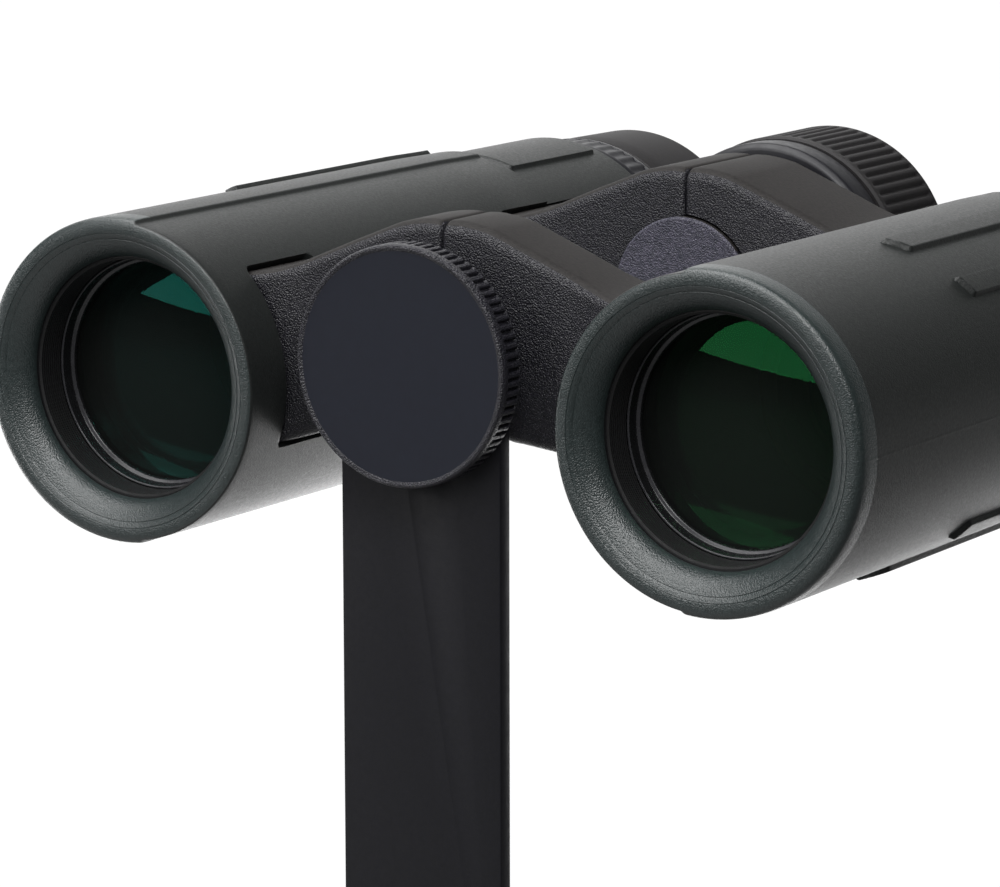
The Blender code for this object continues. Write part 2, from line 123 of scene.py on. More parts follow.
def rounded(outline, radius, steps=4):
    """Round the corners of a closed outline of (radius, station) points."""
    result = []
    count = len(outline)
    for i, corner in enumerate(outline):
        here = Vector(corner)
        back = Vector(outline[i - 1]) - here
        ahead = Vector(outline[(i + 1) % count]) - here
        reach = min(radius, back.length * 0.45, ahead.length * 0.45)
        start = here + back.normalized() * reach
        end = here + ahead.normalized() * reach
        for k in range(steps + 1):
            t = k / steps
            spot = start * (1 - t) ** 2 + here * 2 * t * (1 - t) + end * t ** 2
            result.append((spot.x, spot.y))
    return result


def settle(item):
    """Turn an item's modifiers into its mesh."""
    bpy.context.view_layer.update()
    evaluated = item.evaluated_get(bpy.context.evaluated_depsgraph_get())
    mesh = bpy.data.meshes.new_from_object(evaluated)
    item.modifiers.clear()
    old = item.data
    item.data = mesh
    bpy.data.meshes.remove(old)


def applied(item, operation, tool):
    """Boolean item with a tool object, which is used up."""
    modifier = item.modifiers.new("boolean", "BOOLEAN")
    modifier.operation = operation
    modifier.solver = "MANIFOLD"
    modifier.object = tool
    settle(item)
    bpy.data.objects.remove(tool, do_unlink=True)


def softened(name, node, material, width):
    """A copy of a CAD node with its sharp edges rounded."""
    points = [node.matrix_world @ v.co for v in node.data.vertices]
    item = to_object(name, points, [tuple(p.vertices) for p in node.data.polygons], [material])
    shape = bmesh.new()
    shape.from_mesh(item.data)
    bmesh.ops.dissolve_limit(shape, angle_limit=radians(2), verts=shape.verts[:], edges=shape.edges[:])
    shape.to_mesh(item.data)
    shape.free()
    bevel = item.modifiers.new("edge", "BEVEL")
    bevel.width = width * MM
    bevel.segments = 2
    bevel.limit_method = "ANGLE"
    bevel.angle_limit = radians(50)
    settle(item)
    item.data.shade_smooth()
    item.data.set_sharp_from_angle(angle=radians(38))
    return item


def smoothstep(edge, width, value):
    t = min(1.0, max(0.0, (value - edge) / width + 0.5))
    return t * t * (3 - 2 * t)


# ---- materials ----

class Surface:
    """A Principled material with helpers for grain made from nodes."""

    def __init__(self, name, colour, roughness, metallic=0.0, **sockets):
        self.material = bpy.data.materials.new(name)
        self.material.use_nodes = True
        self.tree = self.material.node_tree
        self.shader = self.tree.nodes["Principled BSDF"]
        self.set("Base Color", (*colour, 1.0))
        self.set("Roughness", roughness)
        self.set("Metallic", metallic)
        for key, value in sockets.items():
            self.set(key.replace("_", " "), value)
        self.coordinates = self.node("ShaderNodeTexCoord").outputs["Object"]
        self.normal = None

    def set(self, socket, value):
        self.shader.inputs[socket].default_value = value

    def node(self, kind, **values):
        made = self.tree.nodes.new(kind)
        for key, value in values.items():
            setattr(made, key, value)
        return made

    def link(self, source, target):
        self.tree.links.new(source, target)

    def noise(self, scale, detail=3.0, rough=0.55, stretch=None):
        made = self.node("ShaderNodeTexNoise")
        made.inputs["Scale"].default_value = scale
        made.inputs["Detail"].default_value = detail
        made.inputs["Roughness"].default_value = rough
        if stretch:
            mapping = self.node("ShaderNodeMapping")
            mapping.inputs["Scale"].default_value = stretch
            self.link(self.coordinates, mapping.inputs["Vector"])
            self.link(mapping.outputs["Vector"], made.inputs["Vector"])
        else:
            self.link(self.coordinates, made.inputs["Vector"])
        return made.outputs["Fac"]

    def pebbles(self, scale, smooth=0.6):
        """Rounded cells, as in moulded pebble leather."""
        made = self.node("ShaderNodeTexVoronoi", feature="SMOOTH_F1")
        made.inputs["Scale"].default_value = scale
        made.inputs["Smoothness"].default_value = smooth
        self.link(self.coordinates, made.inputs["Vector"])
        return made.outputs["Distance"]

    def mapped(self, source, low, high, out_low, out_high):
        made = self.node("ShaderNodeMapRange")
        ends = {"From Min": low, "From Max": high, "To Min": out_low, "To Max": out_high}
        for key, value in ends.items():
            made.inputs[key].default_value = value
        self.link(source, made.inputs["Value"])
        return made.outputs["Result"]

    def bump(self, height, distance, strength=1.0, invert=False):
        made = self.node("ShaderNodeBump", invert=invert)
        made.inputs["Distance"].default_value = distance
        made.inputs["Strength"].default_value = strength
        self.link(height, made.inputs["Height"])
        if self.normal:
            self.link(self.normal, made.inputs["Normal"])
        self.normal = made.outputs["Normal"]
        self.link(self.normal, self.shader.inputs["Normal"])

    def vary_roughness(self, source, low, high):
        self.link(self.mapped(source, 0.3, 0.7, low, high), self.shader.inputs["Roughness"])

    def vary_colour(self, source, dark, light, low=0.35, high=0.65):
        ramp = self.node("ShaderNodeMix", data_type="RGBA")
        ramp.inputs[6].default_value = (*dark, 1.0)
        ramp.inputs[7].default_value = (*light, 1.0)
        self.link(self.mapped(source, low, high, 0.0, 1.0), ramp.inputs[0])
        self.link(ramp.outputs[2], self.shader.inputs["Base Color"])


def armour_surface(name, dark, light, grain, gloss, roughness):
    s = Surface(name, light, 0.5, Specular_IOR_Level=gloss)
    fine = s.pebbles(5600, 0.4)
    s.vary_colour(s.noise(2600, 3.0), dark, light)
    s.vary_roughness(s.noise(3000, 2.0), roughness - 0.06, roughness + 0.06)
    s.bump(fine, 0.00005, 0.4 * grain, invert=True)
    return s.material


def pebble_surface(name, tone_and_painted_sheen):
    s = Surface(name, (0.020, 0.019, 0.026), 0.42, Specular_IOR_Level=0.6)
    dark, light = ((0.009, 0.009, 0.013), (0.018, 0.017, 0.024))
    # A value above 1 lightens the colour; the hinge disc uses this as painted sheen.
    s.vary_colour(s.noise(1700, 2.0), tuple(tone_and_painted_sheen * c for c in dark), tuple(tone_and_painted_sheen * c for c in light))
    s.vary_roughness(s.noise(2600, 2.0), 0.34, 0.5)
    s.bump(s.pebbles(5200, 0.15), 0.00013, 1.0, invert=True)
    s.bump(s.noise(6200, 2.0), 0.00004, 0.5)
    return s.material


def top_surface():
    s = Surface("bridge_top", (0.022, 0.020, 0.020), 0.66, Specular_IOR_Level=0.3)
    s.vary_colour(s.noise(2400, 3.0), (0.017, 0.0155, 0.015), (0.027, 0.024, 0.023))
    s.bump(s.pebbles(4800, 0.6), 0.00005, 0.35, invert=True)
    return s.material


def rubber_surface(name, colour):
    s = Surface(name, colour, 0.62)
    s.vary_colour(s.noise(1800, 3.0), tuple(0.85 * c for c in colour), tuple(1.2 * c for c in colour))
    s.bump(s.noise(4200, 3.0), 0.00004, 0.35)
    return s.material


def satin_surface(name, colour, roughness=0.38, grain=0.25):
    s = Surface(name, colour, roughness)
    s.vary_colour(s.noise(700, 3.0), tuple(0.9 * c for c in colour), tuple(1.1 * c for c in colour))
    s.vary_roughness(s.noise(1200, 3.0), roughness - 0.05, roughness + 0.06)
    s.bump(s.noise(3800, 3.0), 0.00003, grain)
    return s.material


def metal_surface(name, colour, roughness):
    s = Surface(name, colour, roughness, 1.0)
    streaks = s.noise(300, 4.0, 0.6, stretch=(1.0, 14.0, 1.0))
    s.vary_roughness(streaks, roughness - 0.08, roughness + 0.1)
    s.bump(streaks, 0.00002, 0.3)
    return s.material


def plate_surface():
    s = Surface("adapter_paint", (0.0045, 0.0045, 0.0075), 0.55, Specular_IOR_Level=0.38)
    s.vary_colour(s.noise(2000, 3.0), (0.0038, 0.0038, 0.0064), (0.0052, 0.0052, 0.0086))
    s.vary_roughness(s.noise(900, 3.0), 0.5, 0.6)
    s.bump(s.noise(2600, 3.0), 0.00005, 0.3)
    return s.material


def knob_surface():
    s = Surface("knob_paint", (0.009, 0.011, 0.0205), 0.5, Specular_IOR_Level=0.4)
    s.vary_colour(s.noise(900, 2.0), (0.0085, 0.0104, 0.0195), (0.0095, 0.0116, 0.0215))
    s.bump(s.noise(5200, 2.0), 0.00002, 0.2)
    return s.material


def glass_surface(name, tint, alpha=0.5):
    s = Surface(name, (0.020, 0.022, 0.021), 0.0, Alpha=alpha, IOR=1.5)
    s.set("Specular Tint", (*tint, 1.0))
    return s.material


ARMOUR = armour_surface("armour_rubber", (0.016, 0.018, 0.0175), (0.023, 0.026, 0.025), 1.0, 0.5, 0.46)
LIP = armour_surface("armour_lip", (0.019, 0.028, 0.028), (0.030, 0.042, 0.042), 2.2, 0.9, 0.37)
PEBBLE = pebble_surface("pebbled_black", 1.0)
# The hinge disc is the pebbled black made five times lighter: painted sheen.
DISC_PAINTED_SHEEN = pebble_surface("hinge_disc_painted_sheen", 5.0)
RIM = pebble_surface("knob_rim", 1.3)
TOP = top_surface()
GRIP = rubber_surface("grip_rubber", (0.015, 0.0135, 0.0145))
RING = satin_surface("ring_black", (0.014, 0.014, 0.018), 0.42)
INNER = satin_surface("inner_black", (0.012, 0.012, 0.013), 0.36, 0.05)
ANODISED = satin_surface("anodised_black", (0.010, 0.010, 0.011), 0.26, 0.05)
# Lighter grey bands on the retaining ring's edges: painted highlights.
RING_EDGE_PAINTED_HIGHLIGHT = satin_surface("ring_edge_painted_highlight", (0.05, 0.05, 0.055), 0.25, 0.02)
# Near-black for the thread flanks: painted shade in the grooves.
GROOVE_PAINTED_SHADE = satin_surface("thread_groove_painted_shade", (0.0025, 0.0025, 0.003), 0.7, 0.02)
STEEL = metal_surface("steel", (0.50, 0.50, 0.51), 0.32)
BRASS = metal_surface("brass", (0.62, 0.46, 0.20), 0.34)
PLATE = plate_surface()
KNOB = knob_surface()
NYLON = satin_surface("nylon", (0.62, 0.60, 0.55), 0.5)
FRONT_GLASS = {"right": glass_surface("front_glass_green", (0.07, 1.0, 0.27)),
               "left": glass_surface("front_glass_teal", (0.02, 1.0, 0.78))}
INNER_GLASS = glass_surface("inner_glass", (0.3, 0.5, 0.45), 0.2)
PRISM_GLASS = glass_surface("prism_glass", (0.7, 0.8, 0.9), 0.3)


def give(material, *names):
    """A CAD node that stays gets its finished material."""
    for name in names:
        slots = nodes[name].data.materials
        if len(slots):
            for i in range(len(slots)):
                slots[i] = material
        else:
            slots.append(material)


# ---- rubber armour ----

LIP_PROFILE = [(14.5, 1.3), (14.5, 0.6), (14.0, 0.5), (13.95, 0.25), (13.98, 0.0), (14.12, -0.42),
               (14.42, -0.95), (14.82, -1.42), (15.28, -1.84), (15.74, -2.18), (16.14, -2.42), (16.2, -2.38),
               (16.28, -2.48), (16.66, -2.68), (16.82, -2.75), (16.88, -2.70), (16.95, -2.79), (17.3, -2.85)]
# The outer edge is round on the outer half of the sleeve and crisp on the hinge side.
ROUND_EDGE = [(17.62, -2.84), (17.86, -2.74), (18.06, -2.54), (18.2, -2.22), (18.26, -1.8)]
CRISP_EDGE = [(17.75, -2.82), (18.02, -2.76), (18.17, -2.67), (18.27, -2.53), (18.3, -2.3)]
PANEL_EDGE = 82.0             # degrees from the hinge side, above and below
PANEL_RISE = 0.42
PANEL_END = 70.2
# Ribs on the outer half: from, to in degrees from the outward side, first station, slant, height.
RIBS = [(66.0, 75.0, 28.6, -1.6, 0.55), (41.5, 49.5, 31.4, -1.0, 0.55), (-50.5, -42.5, 31.6, 1.0, 0.55),
        (-76.0, -66.0, 24.0, 2.0, 0.6)]
SADDLES = [(4.4, 17.2), (58.6, 78.2)]
SADDLE_ANGLES = (-22.8, 45.8)
SADDLE_DEPTH = 1.72
SLEEVE_RADIUS = 18.3
SLEEVE_BORE = 16.5
SLEEVE_START = -1.0
SLEEVE_LAST = 94.0
REAR_DROP = 0.55              # the sleeve is thinner behind its panels, apart from the two pads there
REAR_PADS = (71.4, 91.8)
PAD_EDGE = 69.0               # degrees from the hinge side


def armour_base(station):
    return SLEEVE_RADIUS - 0.15 * smoothstep(65, 10, station)


def box_distance(u, v, u_from, u_to, v_from, v_to, corner):
    """Signed distance to a rounded box, negative inside."""
    half_u, half_v = (u_to - u_from) / 2, (v_to - v_from) / 2
    du = abs(u - (u_from + u_to) / 2) - half_u + corner
    dv = abs(v - (v_from + v_to) / 2) - half_v + corner
    return min(max(du, dv), 0.0) + hypot(max(du, 0.0), max(dv, 0.0)) - corner


def armour_relief(station, inward):
    """Height above the plain sleeve, and how deep the point lies in a saddle, 0 to 1."""
    arc = SLEEVE_RADIUS * radians(1.0)
    outward = 180.0 - abs(inward)
    signed_outward = outward if inward >= 0 else -outward
    panel = smoothstep(PANEL_EDGE, 1.6, abs(inward))
    panel *= 1.0 - smoothstep(PANEL_END, 0.5, station)
    height = PANEL_RISE * panel
    for low, high, first, slant, rise in RIBS:
        middle = (low + high) / 2
        start = first + slant * (signed_outward - middle) / (high - low)
        gap = box_distance(station, signed_outward * arc, start, PANEL_END, low * arc, high * arc, 0.25)
        height += rise * smoothstep(0.0, 0.34, -gap)
    if station > PANEL_END:
        height -= REAR_DROP * smoothstep(PANEL_END, 0.5, station)
        pad = box_distance(station, abs(inward) * arc, *REAR_PADS, PAD_EDGE * arc, 400.0, 0.5)
        height += 0.5 * smoothstep(0.0, 0.4, -pad)
    seam = min(abs(inward), 180.0 - abs(inward) if abs(inward) > 90 else 999.0)
    height += 0.03 * (1.0 - smoothstep(0.3, 0.5, seam))
    depth = 0.0
    for first, last in SADDLES:
        gap = box_distance(station, inward * arc, first, last, SADDLE_ANGLES[0] * arc,
                           SADDLE_ANGLES[1] * arc, 0.9)
        depth = max(depth, smoothstep(0.0, 0.3, -gap))
    return height, depth


def spaced(marks, coarse, fine, spread, low, high):
    """Coordinates from low to high: coarse everywhere, fine within spread of each mark."""
    values = [low]
    while values[-1] < high - 1e-9:
        near = min(abs(values[-1] - m) for m in marks)
        step = fine if near < spread else min(coarse, fine + (near - spread) * 0.5)
        values.append(values[-1] + max(step, fine))
    values[-1] = high
    return values


def armour(side, sign):
    origin = BARREL[side]
    marks = [PANEL_EDGE, -PANEL_EDGE, PAD_EDGE, -PAD_EDGE, *SADDLE_ANGLES, 0.0, 180.0, -180.0]
    for low, high, *_ in RIBS:
        for edge in (low, high):
            marks.append(180.0 - edge if edge >= 0 else -180.0 - edge)
    angles = spaced(marks, 3.0, 0.45, 1.6, -180.0, 180.0)[:-1]
    station_marks = [PANEL_END, *REAR_PADS, *SADDLES[0], *SADDLES[1]] + [rib[2] for rib in RIBS]
    stations = spaced(station_marks, 1.6, 0.2, 1.6, SLEEVE_START, 93.4)
    # A row is (radius, station, kind): lip rows fade the relief in, and bore rows have none.
    profile = [(radius, station, "lip") for radius, station in LIP_PROFILE + ROUND_EDGE]
    profile += [(armour_base(station), station, "sleeve") for station in stations]
    profile += [(radius, station, "bore") for radius, station in
                ((17.2, 93.8), (16.9, SLEEVE_LAST), (SLEEVE_BORE, SLEEVE_LAST), (SLEEVE_BORE, 1.3))]
    points, in_saddle = [], []
    first_edge = len(LIP_PROFILE)
    for row, (radius, station, kind) in enumerate(profile):
        for inward in angles:
            r = radius
            if first_edge <= row < first_edge + len(CRISP_EDGE):
                outer = smoothstep(PANEL_EDGE, 1.6, abs(inward))
                crisp = CRISP_EDGE[row - first_edge]
                r = outer * radius + (1 - outer) * crisp[0]
                station = outer * ROUND_EDGE[row - first_edge][1] + (1 - outer) * crisp[1]
            height, depth = armour_relief(station, inward)
            if kind == "lip":
                r += height * max(0.0, min(1.0, (radius - 17.3) / 0.8))
            elif kind == "sleeve":
                r = max(r + height - SADDLE_DEPTH * depth, SLEEVE_BORE + 0.02)
            angle = radians(inward)
            points.append((origin.x - sign * r * MM * cos(angle), origin.y + station * MM,
                           origin.z + r * MM * sin(angle)))
            in_saddle.append(depth if kind == "sleeve" else 0.0)
    columns = len(angles)
    faces = ring_faces(len(profile), columns, True)
    lip_rows = first_edge + len(ROUND_EDGE)
    slots = []
    for index, face in enumerate(faces):
        if min(in_saddle[v] for v in face) > 0.6:
            slots.append(2)
        else:
            on_hinge_side = abs(angles[index % columns]) < PANEL_EDGE
            slots.append(1 if index // columns < lip_rows + (-3 if on_hinge_side else 1) else 0)
    item = to_object(side + "_armour_skin", points, faces, [ARMOUR, LIP, PEBBLE], 40.0, slots)
    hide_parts(side + "_armour")
    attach(item, side + "_half")


# ---- bridges ----

# Measured from the hinge axis, outwards and up.
ARM_TOP_LINE = [(0.0, 15.0), (2.5, 15.0), (5.7, 14.45), (7.6, 13.75), (10.2, 12.7), (12.7, 11.7),
                (16.5, 10.1), (19.1, 9.0), (21.6, 8.1), (24.0, 7.6), (26.0, 7.5)]
ARM_LOW_LINE = [(0.0, -1.0), (5.0, -5.0), (7.2, -8.3), (8.7, -8.95), (10.2, -9.1), (12.7, -9.4),
                (14.9, -9.7), (18.1, -10.7), (21.6, -11.7), (24.0, -12.2), (26.0, -12.4)]


def along(line, x):
    """A smooth reading of a line of (x, z) points."""
    xs = [p[0] for p in line]
    i = max(1, min(len(xs) - 1, int(np.searchsorted(xs, x))))
    t = (x - xs[i - 1]) / (xs[i] - xs[i - 1])

    def slope(k):
        a, b = max(0, k - 1), min(len(line) - 1, k + 1)
        return (line[b][1] - line[a][1]) / (xs[b] - xs[a])

    span = xs[i] - xs[i - 1]
    h00, h10 = 2 * t ** 3 - 3 * t ** 2 + 1, t ** 3 - 2 * t ** 2 + t
    h01, h11 = -2 * t ** 3 + 3 * t ** 2, t ** 3 - t ** 2
    return h00 * line[i - 1][1] + h10 * span * slope(i - 1) + h01 * line[i][1] + h11 * span * slope(i)


def arm_section(x, front, back, edge):
    """Section across the arm: (y, z) points, front lower corner first, with rounded edges."""
    top, low = along(ARM_TOP_LINE, x), along(ARM_LOW_LINE, x)
    corners = [(front, low, edge * 0.7), (front, top, edge), (back, top, edge * 0.55),
               (back, low, edge * 0.7)]
    points = []
    for i, (y, z, radius) in enumerate(corners):
        centre_y = y + radius if y == front else y - radius
        centre_z = z + radius if z == low else z - radius
        first = 270.0 - 90.0 * i
        for k in range(7):
            a = radians(first - 15.0 * k)
            points.append((centre_y + radius * cos(a), centre_z + radius * sin(a)))
    return points


def arm(sign, front, back, flares, name):
    """One arm, which flares towards its barrel by the two flares, to the front and to the rear."""
    xs = [0.12, 0.2, 0.35, 0.6] + [1.0 + 0.5 * i for i in range(50)]
    points = []
    for x in xs:
        shrink = 0.32 * max(0.0, 1.0 - (x - 0.12) / 0.48) ** 2
        flare = smoothstep(20.5, 7.0, x)
        section = arm_section(x, front - flares[0] * flare + shrink, back + flares[1] * flare - shrink * 0.5,
                              1.7 - 0.7 * flare)
        for y, z in section:
            drop = shrink if z > 3 else 0.0
            points.append((sign * x * MM, HINGE.y + y * MM, HINGE.z + (z - drop) * MM))
    columns = len(section)
    faces = ring_faces(len(xs), columns, False)
    faces.append(tuple(range(columns)))
    faces.append(tuple(range((len(xs) - 1) * columns, len(xs) * columns))[::-1])
    return to_object(name, points, faces, [PEBBLE, TOP])


def rod(radius, start, end, origin, name="tool", steps=96, edge=0.25):
    profile = [(0, start), (radius - edge, start), (radius, start + edge), (radius, end - edge),
               (radius - edge, end), (0, end)]
    return lathe(name, profile, origin, PEBBLE, steps)


ARM_TILT = atan2(HINGE_RISE, BARREL["right"].x / MM)   # the line from hinge axis down to barrel axis


def slab(sign, x_from, x_to, half_height, first, last):
    """A block along the tilted line from the hinge axis to a barrel axis."""
    points = []
    for station in (first, last):
        for x, z in ((x_from, -half_height), (x_to, -half_height), (x_to, half_height),
                     (x_from, half_height)):
            points.append((sign * (x * cos(ARM_TILT) + z * sin(ARM_TILT)) * MM, HINGE.y + station * MM,
                           HINGE.z + (z * cos(ARM_TILT) - x * sin(ARM_TILT)) * MM))
    faces = [(0, 1, 2, 3), (7, 6, 5, 4), (0, 4, 5, 1), (1, 5, 6, 2), (2, 6, 7, 3), (3, 7, 4, 0)]
    return to_object("tool", points, faces, [PEBBLE])


KNUCKLE_RADIUS = 9.2
KNUCKLE_ROOM = 0.3
KNUCKLES = {"left": [(5.7, 10.7), (59.0, 62.6)], "right": [(11.0, 15.8), (62.9, 65.9)]}
CLEARANCES = {"left": [(10.55, 17.5), (62.45, 79.0)], "right": [(4.0, 11.15), (57.0, 63.05), (65.75, 79.0)]}


def bridge_casting(side, sign):
    """Both arms of one half with its hinge knuckles and body tube, as one closed piece."""
    barrel = BARREL[side]
    tube = [(16.2, 2.6), (16.2, 93.7), (14.9, 93.7), (14.9, 99.4), (13.4, 99.4), (13.4, 78.0), (14.0, 78.0),
            (14.0, 13.4), (14.6, 13.4), (14.6, 2.6)]
    item = lathe(side + "_bridge_casting", tube, barrel, PEBBLE, 96)
    item.data.materials.append(TOP)
    # Slot 2, the hinge disc, is a lighter pebbled black: painted sheen.
    item.data.materials.append(DISC_PAINTED_SHEEN)
    arms = [arm(sign, 5.8, 16.0, (1.1, 0.8), "tool"), arm(sign, 59.6, 77.0, (0.7, 0.9), "tool")]
    for piece, (start, end) in zip(arms, ((3.0, 18.0), (57.0, 79.0))):
        for first, last in CLEARANCES[side]:
            if start <= first <= end or start <= last <= end:
                room = rod(KNUCKLE_RADIUS + KNUCKLE_ROOM, first, last, HINGE, edge=0.01)
                applied(piece, "DIFFERENCE", room)
        for first, last in KNUCKLES[side]:
            if start <= first <= end:
                applied(piece, "UNION", rod(KNUCKLE_RADIUS, first, last, HINGE))
    core = rod(15.2, 1.0, 90.0, barrel, edge=0.01)
    for piece in arms:
        copy = bpy.data.objects.new("tool", core.data.copy())
        bpy.context.scene.collection.objects.link(copy)
        applied(piece, "DIFFERENCE", copy)
        applied(item, "UNION", piece)
    bpy.data.objects.remove(core, do_unlink=True)
    applied(item, "DIFFERENCE", rod(4.8, 4.0, 17.0, HINGE, steps=48, edge=0.01))
    applied(item, "DIFFERENCE", rod(4.4, 60.4, 67.0, HINGE, steps=48, edge=0.01))
    applied(item, "DIFFERENCE", slab(sign, 8.0, 25.2, 1.9, 66.5, 75.7))
    applied(item, "DIFFERENCE", slab(sign, 9.0, 20.6, 2.9, 75.4, 79.0))
    paint_top(item)
    item.data.shade_smooth()
    item.data.set_sharp_from_angle(angle=radians(38))
    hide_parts(side + "_body_casting")
    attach(item, side + "_half")


def paint_top(item):
    """The bridges' upper faces have a finer, browner finish than their pebbled fronts; the hinge disc gets a
    lighter copy of the pebbled black as painted sheen.
    """
    for face in item.data.polygons:
        place = face.center
        on_top = face.normal.z > 0.62 and place.z > HINGE.z
        station = (place.y - HINGE.y) / MM
        # Faces on the disc take slot 2, the painted sheen.
        in_disc = station < 59.5 and station > 58.0 and hypot(place.x, place.z - HINGE.z) < 9.3 * MM
        face.material_index = 1 if on_top and not in_disc else 2 if in_disc else 0


# ---- objective end ----

def threads(first, last, count, crest, root):
    """A ringed outline from the first station to the last."""
    points = []
    pitch = (last - first) / count
    for i in range(count):
        start = first + i * pitch
        points += [(crest, start), (crest, start + 0.42 * pitch), (root, start + 0.52 * pitch),
                   (root, start + 0.9 * pitch)]
    points.append((crest, last))
    return points


THREAD_CREST = 13.5
THREAD_ROOT = 13.68


def objective(side):
    barrel = BARREL[side]
    half = side + "_half"
    bore = threads(0.75, 4.2, 9, THREAD_CREST, THREAD_ROOT)
    cell = [(14.3, 0.62), (13.75, 0.6), *bore, (13.72, 4.6), (13.72, 11.2), (12.4, 11.2), (12.4, 11.9),
            (14.3, 11.9)]
    item = lathe(side + "_cell_threaded", cell, barrel, INNER, 160, sharp=20)
    item.data.materials.append(GROOVE_PAINTED_SHADE)
    # The flanks between crest and root get the near-black: painted shade in the grooves.
    for face in item.data.polygons:
        away = hypot(face.center.x - barrel.x, face.center.z - barrel.z) / MM
        face.material_index = 1 if THREAD_CREST + 0.03 < away < THREAD_ROOT + 0.01 else 0
    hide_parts(side + "_objective_cell")
    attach(item, half)
    ring = [(13.48, 4.3), (13.48, 6.3), (12.6, 6.3), (12.7, 5.9), (13.12, 5.7), (13.2, 4.3)]
    item = lathe(side + "_retaining_ring", rounded(ring, 0.12, 4), barrel, ANODISED, 160)
    item.data.materials.append(RING_EDGE_PAINTED_HIGHLIGHT)
    # The front edge and the inner step get the lighter grey: painted highlights.
    for face in item.data.polygons:
        station = (face.center.y - barrel.y) / MM
        face.material_index = 1 if station < 4.42 or 5.72 < station < 5.9 else 0
    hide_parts(side + "_objective_retaining_ring")
    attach(item, half)
    lens(side + "_crown_glass", side + "_objective_crown_lens", half, barrel, FRONT_GLASS[side],
         (13.4, 6.8, 8.0, 1.4, 1.22))
    lens(side + "_flint_glass", side + "_objective_flint_lens", half, barrel, INNER_GLASS,
         (13.4, 8.3, 10.9, -1.36, 0.0))
    lens(side + "_focus_glass", side + "_focus_lens", side + "_focus", barrel, INNER_GLASS,
         (11.7, 34.8, 38.2, -1.0, -0.8))


def lens(name, node, body, origin, material, shape):
    """A lens from its radius, its rim's first and last stations, and how far each face bulges."""
    radius, front, back, front_bulge, back_bulge = shape
    steps = 24
    profile = []
    for i in range(steps + 1):
        t = i / steps
        profile.append((radius * t, front - front_bulge * (1 - t * t)))
    for i in range(steps, -1, -1):
        t = i / steps
        profile.append((radius * t, back + back_bulge * (1 - t * t)))
    item = lathe(name, profile, origin, material, 128)
    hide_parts(node)
    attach(item, body)


# ---- eyepiece end ----

RING_RIBS = 60


def eyepiece(side):
    barrel = BARREL[side]
    trim = "right_dioptre_ring" if side == "right" else "left_trim_ring"
    body = "dioptre_ring" if side == "right" else "left_half"

    def grip_wave(radius, station, angle):
        inside = 1.0 if radius > 16.9 and 95.2 < station < 98.7 else 0.0
        return -0.16 * inside * (0.5 + 0.5 * cos(RING_RIBS * angle))

    ring = rounded([(15.2, 94.3), (17.15, 94.3), (17.25, 95.0), (17.25, 95.4), (17.25, 98.4), (17.25, 98.8),
                    (17.15, 99.4), (15.2, 99.4)], 0.2)
    item = lathe(side + "_rear_ring", ring, barrel, RING, 480, grip_wave)
    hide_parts(trim)
    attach(item, body)
    cup = [(17.0, 100.2), (17.1, 103.0), (16.95, 113.2), (16.2, 114.6), (14.4, 114.6), (13.6, 114.0),
           (13.6, 113.8), (16.2, 113.8), (16.2, 100.2)]
    item = lathe(side + "_eyecup_skin", rounded(cup, 0.5, 5), barrel, GRIP, 144)
    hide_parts(side + "_eyecup_rubber")
    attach(item, side + "_eyecup")
    sleeve = [(15.9, 100.2), (15.9, 113.5), (13.7, 113.5), (13.7, 111.5), (15.2, 111.5), (15.2, 100.2)]
    item = lathe(side + "_eyecup_tube", rounded(sleeve, 0.15, 3), barrel, RING, 144)
    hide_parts(side + "_eyecup_sleeve")
    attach(item, side + "_eyecup")
    housing = [(13.1, 79.0), (13.1, 99.7), (13.4, 99.7), (13.4, 112.0), (11.9, 112.0), (11.9, 79.0)]
    item = lathe(side + "_ocular_tube", rounded(housing, 0.2, 3), barrel, ANODISED, 144)
    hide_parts(side + "_ocular_housing")
    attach(item, side + "_half")
    cell = [(11.6, 83.0), (11.6, 109.0), (10.8, 109.0), (10.8, 104.6), (9.6, 104.6), (9.6, 88.6),
            (10.8, 88.6), (10.8, 83.0)]
    ocular_body = "right_ocular" if side == "right" else "left_half"
    item = lathe(side + "_ocular_barrel", rounded(cell, 0.15, 3), barrel, INNER, 144)
    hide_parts(side + "_ocular_cell")
    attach(item, ocular_body)
    lens(side + "_eye_glass", side + "_eye_lens", ocular_body, barrel, INNER_GLASS,
         (10.5, 105.9, 107.8, 0.8, 0.6))
    lens(side + "_field_glass", side + "_field_lens", ocular_body, barrel, INNER_GLASS,
         (10.5, 85.4, 87.4, 0.8, 0.8))


# ---- focus wheel ----

WHEEL_RIBS = 72


